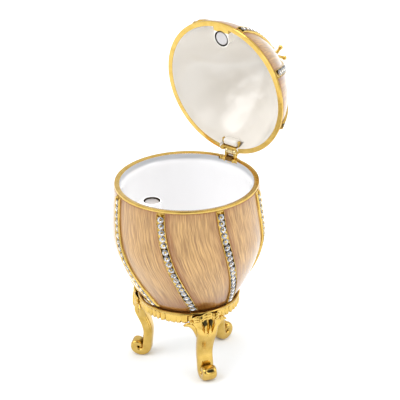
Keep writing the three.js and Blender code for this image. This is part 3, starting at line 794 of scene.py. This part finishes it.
for half, name in ((bowl_half, "bowl_settings"), (lid_half, "lid_settings")):
    settings_bm = bmesh.new()
    for band in range(BAND_COUNT):
        draw_setting(settings_bm, half, band, SETTING_STEPS[name])
    make_piece(name, settings_bm, half.place, [gold], half.body, "gold")


# ---- Crystals ----
# Round foil-backed crystals are glued one by one into the channels. Each is cut as a ring of
# facets that rise from its girdle, over a silvered cone.

STONE_PITCH, STONE_SIDES = 1.95, 10
STONE_LEVELS = {0: (0.0, 0.04), 2: (0.95, 0.42), 4: (0.0, 0.84)}  # radius, lift: back, girdle, top


def crystal_finish(name):
    """Clear lead crystal."""
    finish = Finish(name, Transmission_Weight=1.0, IOR=1.58, Roughness=0.0)
    shade = finish.noise(finish.place(), 900.0, 0.0)
    finish.feed(Base_Color=finish.mix(shade, (1.0, 1.0, 1.0, 1), (0.88, 0.90, 0.93, 1)))
    return finish.material


def foil_finish(name):
    """The silvered back of a crystal, its facets not all equally bright."""
    finish = Finish(name, Metallic=1.0, Roughness=0.22)
    shade = ((finish.noise(finish.place(), 1500.0, 0.0) - 0.5) * 3.0 + 0.5).clamp()
    finish.feed(Base_Color=finish.mix(shade, (1.0, 1.0, 1.0, 1), (0.72, 0.72, 0.74, 1)))
    return finish.material


crystal = crystal_finish("clear_crystal")
foil = foil_finish("silver_foil")


def draw_stone(bm, place, spin):
    """Draws a ball out into a cone of facets over its girdle and one of foil under it."""
    ball = bmesh.ops.create_uvsphere(bm, u_segments=STONE_SIDES, v_segments=4, radius=1)["verts"]
    for vert in ball:
        radius, lift = STONE_LEVELS[round(2 + vert.co.z * 2.2)]
        turn = atan2(vert.co.y, vert.co.x) + spin
        vert.co = place @ Vector((radius * cos(turn), lift, radius * sin(turn)))
    for face in {face for vert in ball for face in vert.link_faces}:
        centre = place.inverted() @ face.calc_center_median()
        face.material_index = 1 if centre.y < STONE_LEVELS[2][1] - 0.02 else 0


def stone_depths(half):
    """Depths that space the stones evenly along a band; the first band serves for all."""
    depths = spread(BAND_START + 0.3, half.band_end, 240)
    reach = [0.0]
    for before, after in pairwise(depths):
        ends = [band_station(half, t, 0).translation for t in (before, after)]
        reach.append(reach[-1] + (ends[1] - ends[0]).length)
    count = round(reach[-1] / STONE_PITCH)
    wanted = [(i + 0.5) * reach[-1] / count for i in range(count)]
    return [next(t for t, d in zip(depths, reach) if d >= share) for share in wanted]


for half, name in ((bowl_half, "bowl_crystals"), (lid_half, "lid_crystals")):
    depths = stone_depths(half)
    for band in range(BAND_COUNT):
        row_bm = bmesh.new()
        for i, depth in enumerate(depths):
            draw_stone(row_bm, band_station(half, depth, band), 1.3 * i + band)
        node = f"{name}_{band + 1}"
        make_piece(
            f"{node}_cut", row_bm, half.place, [crystal, foil], half.body, "crystal", node,
            crease=0,
        )


# ---- Catch ----
# A round-nosed tongue is cast inside the front of each rim, with a socket for a small magnet. The
# tongues are enamelled with the inside, and the magnets are pressed in a little below the rim.

CATCH_RADIUS = 15.8
TONGUE_RADIUS, TONGUE_REACH, TONGUE_THICKNESS, TONGUE_SINK = 2.65, 19.6, 2.4, 0.4
SOCKET_RADIUS, SOCKET_DEPTH = 2.42, 1.4
MAGNET_RADIUS, MAGNET_THICKNESS = 2.0, 1.0


def socket_finish(name):
    """Old lacquer and shadow round the magnet."""
    finish = Finish(name, Metallic=0.4)
    cloud = finish.noise(finish.place(), 700.0, 2.0)
    finish.feed(
        Base_Color=finish.mix(cloud, (0.03, 0.02, 0.01, 1), (0.09, 0.06, 0.03, 1)),
        Roughness=cloud * 0.2 + 0.4,
    )
    return finish.material


def magnet_finish(name):
    """Satin nickel plate with faint turning marks."""
    finish = Finish(name, Metallic=0.75)
    cloud = finish.noise(finish.place(), 800.0, 3.0)
    finish.feed(
        Base_Color=finish.mix(cloud, (0.60, 0.57, 0.56, 1), (0.47, 0.445, 0.44, 1)),
        Roughness=cloud * 0.15 + 0.32,
    )
    return finish.material


socket_lining = socket_finish("socket_lining")
magnet_plate = magnet_finish("nickel_plate")


def draw_tongue(bm, gilt_start):
    """A ring drawn out to the wall on one side, its face at z = 0 and gilt next to the rim."""
    centre = Matrix.Translation((0, -CATCH_RADIUS, 0))
    inner, outer = (
        bmesh.ops.create_circle(bm, segments=64, radius=radius, matrix=centre)["verts"]
        for radius in (SOCKET_RADIUS, TONGUE_RADIUS)
    )
    for vert in outer:
        if vert.co.y < -CATCH_RADIUS + 0.001:
            vert.co.y = -((TONGUE_REACH ** 2 - vert.co.x ** 2) ** 0.5)
    bmesh.ops.bridge_loops(bm, edges=list(bm.edges))
    face_edges = list(bm.edges)
    for ring, depth in ((outer, TONGUE_THICKNESS), (inner, SOCKET_DEPTH)):
        edges = [edge for edge in face_edges if all(vert in ring for vert in edge.verts)]
        grown = bmesh.ops.extrude_edge_only(bm, edges=edges)["geom"]
        verts = [part for part in grown if isinstance(part, bmesh.types.BMVert)]
        bmesh.ops.translate(bm, vec=(0, 0, -depth), verts=verts)
        rim = [part for part in grown if isinstance(part, bmesh.types.BMEdge)]
        floor = bmesh.ops.edgeloop_fill(bm, edges=rim)["faces"]
        if ring is inner:
            walls = {face for vert in verts for face in vert.link_faces}
            for face in list(floor) + list(walls):
                face.material_index = 1
    everything = list(bm.verts) + list(bm.edges) + list(bm.faces)
    bmesh.ops.bisect_plane(bm, geom=everything, plane_co=(0, -gilt_start, 0), plane_no=(0, 1, 0))
    for face in bm.faces:
        if face.calc_center_median().y < -gilt_start:
            face.material_index = 2


def draw_magnet(bm, sink):
    """A disc with eased edges, sunk under the tongue's face."""
    centre = Matrix.Translation((0, -CATCH_RADIUS, -MAGNET_THICKNESS / 2 - sink))
    bmesh.ops.create_cone(
        bm, cap_ends=True, segments=64, radius1=MAGNET_RADIUS, radius2=MAGNET_RADIUS,
        depth=MAGNET_THICKNESS, matrix=centre,
    )
    corners = [edge for edge in bm.edges if abs(edge.verts[0].co.z - edge.verts[1].co.z) < 1e-4]
    bmesh.ops.bevel(
        bm, geom=corners, affect="EDGES", offset=0.12, segments=2, profile=0.5, material=-1
    )


bowl_catch = egg_place @ Matrix.Translation((0, 0, RIM_HEIGHT - TONGUE_SINK))
lid_catch = lid_place @ Matrix.Translation((0, 0, TONGUE_SINK)) @ Matrix.Diagonal((1, 1, -1, 1))
catches = (
    (bowl_half, "bowl", bowl_catch, white_enamel, 19.4, 0.3),
    (lid_half, "lid", lid_catch, lid_shade_enamel, 17.9, 0.08),
)  # with where the gilding starts and how deep the magnet sits
for half, name, place, enamel, gilt_start, sink in catches:
    tongue_bm, magnet_bm = bmesh.new(), bmesh.new()
    draw_tongue(tongue_bm, gilt_start)
    draw_magnet(magnet_bm, sink)
    finishes = [enamel, socket_lining, gold]
    make_piece(f"{name}_tongue", tongue_bm, place, finishes, half.body, "peach_enamel")
    make_piece(
        f"{name}_catch_magnet", magnet_bm, place, [magnet_plate], half.body,
        "magnet", f"{name}_magnet",
    )


# ---- Hinge ----
# The bowl's leaf is a block let into the rim with two round-headed arms; the lid's is a web inside
# the wall with two rails and the middle knuckle. A pin runs through all three, and both leaves are
# soldered in, with enamel run in behind the lid's.

KNUCKLE_RADIUS, PIN_RADIUS, PIN_LENGTH = 1.15, 0.45, 4.3
CENTRE_KNUCKLE, ARM_WIDTH = 1.7, 0.75
KNUCKLE_OVERLAP = 0.2  # the rounded barrels are that much longer than the knuckles
FIT = 0.35  # clearance round the leaves
BLOCK_EDGE, FILL_EDGE, BARREL_EDGE, PAD_EDGE = 0.12, 0.06, 0.1, 0.6  # rounded over
LEAF_WIDTH, LEAF_STAND_OUT = 5.2, 0.5
RAIL_WIDTH, RAIL_START, RAIL_LIMITS = 0.5, 17.5, (0.9, 1.8)  # limits along the lid's own height
WEB_START, WEB_END = 19.5, 20.1
PAD_WIDTH, PAD_LIMITS = 5.1, (0.5, 2.9)
RECESS_DEPTH, RECESS_FLOOR, RECESS_LIP = 1.3, 1.6, 0.25  # the dark seat between the arms
SOLDER_START = 2.1  # the lid's gold fills, from the middle to each side
ENAMEL_START, ENAMEL_INSIDE = 2.7, 19.3  # the enamel fills behind them
OVERLAP = 0.02  # into the neighbouring metal
arm_x = CENTRE_KNUCKLE / 2 + FIT + ARM_WIDTH / 2


# painted shade: a darkened copy of the gold for the seat between the arms
shaded_gold = gold_finish("shaded_gold", (0.26, 0.14, 0.035, 1), (0.10, 0.05, 0.012, 1), 0.25)
# painted highlight: a paler, glossier copy of the gold for the knuckles' barrels
highlit_gold = gold_finish("highlit_gold", (0.86, 0.74, 0.46, 1), (0.66, 0.50, 0.24, 1), 0.12)


def draw_block(bm, x, y, z, edge=BLOCK_EDGE, finish=0):
    """A box between pairs of limits, its edges rounded over."""
    before = set(bm.faces)
    sizes = [high - low for low, high in (x, y, z)]
    middle = Matrix.Translation([(low + high) / 2 for low, high in (x, y, z)])
    place = middle @ Matrix.Diagonal((*sizes, 1))
    block = bmesh.ops.create_cube(bm, size=1, matrix=place)["verts"]
    edges = list({edge for vert in block for edge in vert.link_edges})
    bmesh.ops.bevel(
        bm, geom=edges, affect="EDGES", offset=edge, segments=3, profile=0.5, material=-1
    )
    for face in set(bm.faces) - before:
        face.material_index = finish


def draw_barrel(bm, radius, length, x, z, finish=0):
    """A round bar along X on the hinge's axis, its ends rounded over."""
    before = set(bm.faces)
    place = Matrix.Translation((x, HINGE_RADIUS, z)) @ Matrix.Rotation(radians(90), 4, "Y")
    barrel = bmesh.ops.create_cone(
        bm, cap_ends=True, segments=36, radius1=radius, radius2=radius, depth=length, matrix=place
    )["verts"]
    ends = {edge for vert in barrel for edge in vert.link_edges}
    rims = [edge for edge in ends if abs(edge.verts[0].co.x - edge.verts[1].co.x) < 1e-4]
    bmesh.ops.bevel(
        bm, geom=rims, affect="EDGES", offset=BARREL_EDGE, segments=3, profile=0.5, material=-1
    )
    for face in set(bm.faces) - before:
        face.material_index = finish


def on_side(side, near, far):
    """Limits of a block from near to far on one side of the middle."""
    return sorted((side * near, side * far))


NECK_RISE = 0.4  # how far the middle knuckle's neck runs on past the pin
SHY = 0.1  # how far a fill stays back from the face next to it
axis_z, knuckle_z = RIM_HEIGHT + HINGE_RISE, HINGE_RISE - LID_SEAT_GAP
leaf_half, recess_half = LEAF_WIDTH / 2, CENTRE_KNUCKLE / 2 + FIT
notch_half, web_half = NOTCH_HALF_WIDTH + OVERLAP, LEAF_WIDTH / 2 + RAIL_WIDTH
wall_start, leaf_end = RIM_RADIUS - WALL, RIM_RADIUS + LEAF_STAND_OUT
leaf_low, leaf_high = RIM_HEIGHT - NOTCH_DEPTH + FIT, RIM_HEIGHT - FIT / 2
seat_z = RIM_HEIGHT - RECESS_DEPTH

bowl_leaf_bm = bmesh.new()
draw_block(bowl_leaf_bm, (-leaf_half, leaf_half), (wall_start, leaf_end), (leaf_low, seat_z))
# the seat between the arms, in gold painted dark as shade
draw_block(
    bowl_leaf_bm, (-recess_half, recess_half), (wall_start + SHY, HINGE_RADIUS),
    (RIM_HEIGHT - RECESS_FLOOR, RIM_HEIGHT + RECESS_LIP), finish=1,
)
for side in (-1, 1):
    draw_block(
        bowl_leaf_bm, on_side(side, leaf_half, notch_half), (wall_start, RIM_RADIUS),
        (leaf_low, RIM_HEIGHT - SHY), FILL_EDGE,
    )
    draw_block(
        bowl_leaf_bm, on_side(side, recess_half, leaf_half), (wall_start, leaf_end),
        (leaf_low, leaf_high),
    )
    draw_block(
        bowl_leaf_bm, on_side(side, arm_x - ARM_WIDTH / 2, arm_x + ARM_WIDTH / 2),
        (HINGE_RADIUS - KNUCKLE_RADIUS, leaf_end), (seat_z, axis_z),
    )
    draw_barrel(
        bowl_leaf_bm, KNUCKLE_RADIUS, ARM_WIDTH + KNUCKLE_OVERLAP,
        side * (arm_x - KNUCKLE_OVERLAP / 2), axis_z, finish=2,
    )
make_piece(
    "bowl_leaf", bowl_leaf_bm, egg_place, [gold, shaded_gold, highlit_gold],
    "base", "gold", "bowl_hinge_leaf",
)

pin_bm = bmesh.new()
draw_barrel(pin_bm, PIN_RADIUS, PIN_LENGTH, 0, axis_z)
make_piece("hinge_pin_turned", pin_bm, egg_place, [gold], "base", "gold", "hinge_pin")

lid_leaf_bm = bmesh.new()
draw_block(
    lid_leaf_bm, (-web_half, web_half), (WEB_START, WEB_END), (0, NOTCH_DEPTH - FIT)
)
draw_block(
    lid_leaf_bm, (-CENTRE_KNUCKLE / 2, CENTRE_KNUCKLE / 2), (WEB_START, HINGE_RADIUS),
    (FIT, HINGE_RISE + NECK_RISE),
)
draw_barrel(
    lid_leaf_bm, KNUCKLE_RADIUS, CENTRE_KNUCKLE + KNUCKLE_OVERLAP, 0, knuckle_z, finish=1
)
for side in (-1, 1):
    draw_block(
        lid_leaf_bm, on_side(side, leaf_half, web_half), (RAIL_START, RIM_RADIUS), RAIL_LIMITS
    )
    draw_block(
        lid_leaf_bm, on_side(side, SOLDER_START, notch_half), (WEB_END - SHY, RIM_RADIUS - SHY / 2),
        (OVERLAP, NOTCH_DEPTH - FIT), FILL_EDGE,
    )
    draw_block(
        lid_leaf_bm, on_side(side, ENAMEL_START, notch_half), (ENAMEL_INSIDE, WEB_END),
        (OVERLAP, NOTCH_DEPTH), FILL_EDGE, finish=2,
    )
make_piece(
    "lid_leaf", lid_leaf_bm, lid_place, [gold, highlit_gold, lid_shade_enamel],
    "lid", "gold", "lid_hinge_leaf",
)

pad_bm = bmesh.new()
draw_block(
    pad_bm, (-PAD_WIDTH / 2, PAD_WIDTH / 2), (RAIL_START - SHY, WEB_START - SHY / 2),
    PAD_LIMITS, PAD_EDGE,
)
make_piece("lid_pad", pad_bm, lid_place, [lid_shade_enamel], "lid", "peach_enamel")


# ---- Finial ----
# A small turned foot with a spray of four gold prongs, each ending in a ball. It is soldered into
# the top of the lid.

PRONG_COUNT, PRONG_TURN = 4, 24.0  # degrees from the front to the first
FINIAL_BASE, FINIAL_BOSS, PRONG_RADIUS = 1.9, 1.7, 0.62
TIP_RADIUS, TIP_HEIGHT, BALL_RADIUS = 2.4, 3.5, 0.72
PRONG_STEPS, PRONG_TAPER = 12, 0.75


def draw_finial(bm, seat):
    """The foot turned from its outline, then each prong bent outwards from its middle."""
    profile = [
        (0, -0.35), (FINIAL_BASE, -0.35), (FINIAL_BASE + 0.05, 0.2), (FINIAL_BASE - 0.2, 0.45),
        (1.1, 0.6), (0.8, 0.9), (0.66, 1.3), (0.6, 1.6), (0.3, FINIAL_BOSS), (0, FINIAL_BOSS),
    ]
    corners = [bm.verts.new((radius, 0, seat + z)) for radius, z in profile]
    edges = [bm.edges.new(pair) for pair in pairwise(corners)]
    bmesh.ops.spin(
        bm, geom=corners + edges, axis=(0, 0, 1), cent=(0, 0, 0), angle=2 * pi, steps=40,
        use_merge=True,
    )
    bmesh.ops.remove_doubles(bm, verts=bm.verts, dist=0.002)
    for prong in range(PRONG_COUNT):
        azimuth = radians(PRONG_TURN) + 2 * pi * prong / PRONG_COUNT
        line = interpolate_bezier(
            polar(0, azimuth, seat + FINIAL_BOSS / 2),
            polar(TIP_RADIUS / 6, azimuth, seat + 0.5 * TIP_HEIGHT),
            polar(TIP_RADIUS / 3, azimuth, seat + 0.7 * TIP_HEIGHT),
            polar(TIP_RADIUS, azimuth, seat + TIP_HEIGHT),
            PRONG_STEPS,
        )
        side = polar(1, azimuth, 0).cross(Vector((0, 0, 1)))
        shares = spread(0, 1, PRONG_STEPS)
        radii = [PRONG_RADIUS * ease(1, PRONG_TAPER, share) for share in shares]
        sweep(bm, round_section(12), bar_stations(line, side, radii, radii))
        tip = Matrix.Translation(line[-1])
        bmesh.ops.create_uvsphere(
            bm, u_segments=20, v_segments=12, radius=BALL_RADIUS, matrix=tip
        )


finial_bm = bmesh.new()
draw_finial(finial_bm, LID_HEIGHT + FIT)
make_piece("finial_cast", finial_bm, lid_place, [gold], "lid", "gold", "finial")


# ---- Studio ----
# The box stands on a plain white floor in an even white room, under two large soft lamps and a
# small one behind the open lid. A dim patch in front gives the gold something dark to mirror.

FLOOR_HALF = 3.0  # metres
floor_bm = bmesh.new()
bmesh.ops.create_grid(floor_bm, x_segments=1, y_segments=1, size=FLOOR_HALF)
floor_mesh = bpy.data.meshes.new("floor")
floor_bm.to_mesh(floor_mesh)
floor_bm.free()
floor = bpy.data.objects.new("floor", floor_mesh)
bpy.context.scene.collection.objects.link(floor)
floor_finish = Finish(
    "floor_paper", Roughness=0.9, Base_Color=(0.93, 0.96, 0.99, 1),
    Emission_Color=(0.94, 0.97, 1.0, 1), Emission_Strength=0.03,
)
floor_mesh.materials.append(floor_finish.material)

rim_centre = egg_place @ Vector((0, 0, RIM_HEIGHT))
LAMPS = {  # degrees round and up, metres away and across, and watts
    "key_lamp": (-25, 48, 0.9, 0.7, 3.1),
    "fill_lamp": (110, 35, 0.9, 0.6, 1.9),
    "top_lamp": (190, 79, 0.8, 0.3, 3.4),
}
for name, (azimuth, elevation, distance, size, power) in LAMPS.items():
    lamp = bpy.data.lights.new(name, "AREA")
    lamp.shape, lamp.size, lamp.energy = "SQUARE", size, power
    carrier = bpy.data.objects.new(name, lamp)
    azimuth, elevation = radians(azimuth), radians(elevation)
    offset = polar(cos(elevation), azimuth, sin(elevation)) * distance
    aim = (-offset).to_track_quat("-Z", "Y").to_matrix().to_4x4()
    carrier.matrix_world = Matrix.Translation(rim_centre + offset) @ aim
    bpy.context.scene.collection.objects.link(carrier)

CAMERA_AZIMUTH, CAMERA_ELEVATION, CAMERA_DISTANCE = radians(39.4), radians(25.0), 0.681
CAMERA_ROLL, CAMERA_PAN, CAMERA_TILT = radians(-1.21), radians(-0.324), radians(-0.477)
LENS, SENSOR_WIDTH = 211.7, 36.0
front = polar(cos(CAMERA_ELEVATION), CAMERA_AZIMUTH, sin(CAMERA_ELEVATION))

ROOM_LIGHT = 0.98
DIM_EDGE, DIM_CORE, DIM_LIGHT = radians(23), radians(9), 0.04
world = bpy.data.worlds.new("studio")
world.use_nodes = True
room_nodes, room_links = world.node_tree.nodes, world.node_tree.links
background = room_nodes["Background"]
background.inputs["Strength"].default_value = ROOM_LIGHT
direction = room_nodes.new("ShaderNodeTexCoord")
facing = room_nodes.new("ShaderNodeVectorMath")
facing.operation = "DOT_PRODUCT"
facing.inputs[1].default_value = front
fade = room_nodes.new("ShaderNodeMapRange")
fade.interpolation_type = "SMOOTHSTEP"
fade.inputs["From Min"].default_value = cos(DIM_EDGE)
fade.inputs["From Max"].default_value = cos(DIM_CORE)
fade.inputs["To Min"].default_value = 1.0
fade.inputs["To Max"].default_value = DIM_LIGHT
room_links.new(direction.outputs["Generated"], facing.inputs[0])
room_links.new(facing.outputs["Value"], fade.inputs["Value"])
room_links.new(fade.outputs["Result"], background.inputs["Color"])
bpy.context.scene.world = world
bpy.context.scene.view_settings.view_transform = "Standard"

camera_data = bpy.data.cameras.new("camera")
camera_data.lens, camera_data.sensor_width = LENS, SENSOR_WIDTH
camera = bpy.data.objects.new("camera", camera_data)
bpy.context.scene.collection.objects.link(camera)
sight = front * CAMERA_DISTANCE
camera.matrix_world = (
    Matrix.Translation(rim_centre + sight)
    @ (-sight).to_track_quat("-Z", "Y").to_matrix().to_4x4()
    @ Matrix.Rotation(CAMERA_ROLL, 4, "Z")
    @ Matrix.Rotation(CAMERA_PAN, 4, "Y")
    @ Matrix.Rotation(CAMERA_TILT, 4, "X")
)
bpy.context.scene.camera = camera
